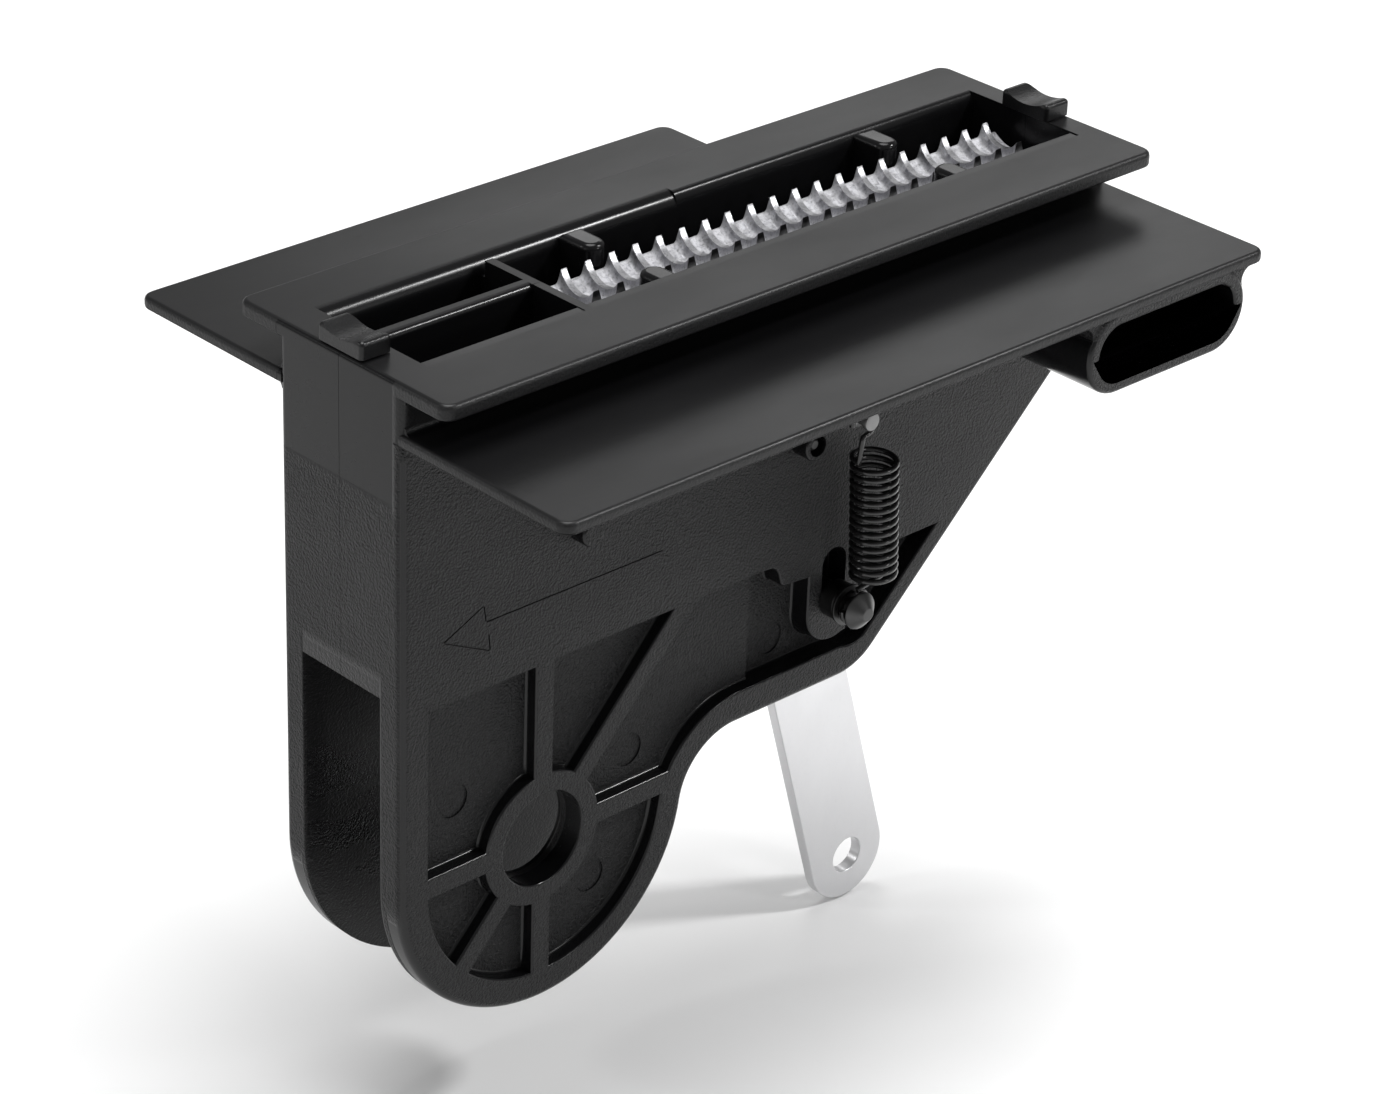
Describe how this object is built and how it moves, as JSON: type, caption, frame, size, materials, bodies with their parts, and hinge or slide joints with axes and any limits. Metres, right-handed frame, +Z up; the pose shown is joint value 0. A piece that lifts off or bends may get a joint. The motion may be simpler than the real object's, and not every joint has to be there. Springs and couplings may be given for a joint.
{
  "type": "screw-drive garage door opener carriage",
  "caption": "Rail carriage of a screw-drive garage door opener: winged black shells, half nut, release lever with spring, and door arm clevis.",
  "frame": {"origin": "centre of the top plate's upper face, where the plate hangs in the rail", "axes": "+X along the rail towards the motor, -X towards the door, -Y the side that carries the spring, +Z up"},
  "size_m": [0.195, 0.1276, 0.1839],
  "materials": {
    "shell_plastic": "black glass-filled nylon, satin flats and fine leather-grained sides",
    "saddle_plastic": "black moulded plastic, smooth",
    "nut_zinc": "zinc die casting, as cast with bright worn crests",
    "lever_zinc_plate": "steel strip, bright zinc plate",
    "dark_steel": "steel, dark phosphate",
    "anchor_steel": "steel, dull grey",
    "screw_zinc": "steel, zinc plate",
    "spring_black": "spring wire, glossy black finish"
  },
  "bodies": {
    "carriage_body": {"spring_side_shell": "shell_plastic", "plain_side_shell": "shell_plastic", "door_end_saddle": "saddle_plastic", "motor_end_saddle": "saddle_plastic", "cam_rest_bar": "screw_zinc", "spring_anchor_screw": "anchor_steel", "extension_spring": "spring_black", "shell_screw_1": "screw_zinc", "shell_screw_2": "screw_zinc", "shell_screw_3": "screw_zinc", "shell_screw_4": "screw_zinc", "shell_screw_5": "screw_zinc", "shell_screw_6": "screw_zinc"},
    "nut_carrier": {"half_nut": "nut_zinc", "lever_pin": "dark_steel", "lever_washer_spring_side": "screw_zinc", "lever_washer_plain_side": "screw_zinc", "pin_washer": "dark_steel", "pin_clip": "dark_steel"},
    "lever": {"release_lever": "lever_zinc_plate"}
  },
  "joints": [
    {"name": "nut_lift", "type": "slide", "parent": "carriage_body", "child": "nut_carrier", "axis": [0, 0, 1], "range_m": [0, 0.00801], "deforming": ["extension_spring"]},
    {"name": "lever_swing", "type": "hinge", "parent": "nut_carrier", "child": "lever", "pos_m": [0.02, 0, -0.0855], "axis": [0, -1, 0], "range_deg": [0, 45]}
  ],
  "couplings": [
    {"joint": "nut_lift", "follows": "lever_swing", "m_per_rad": 0.010186}
  ]
}
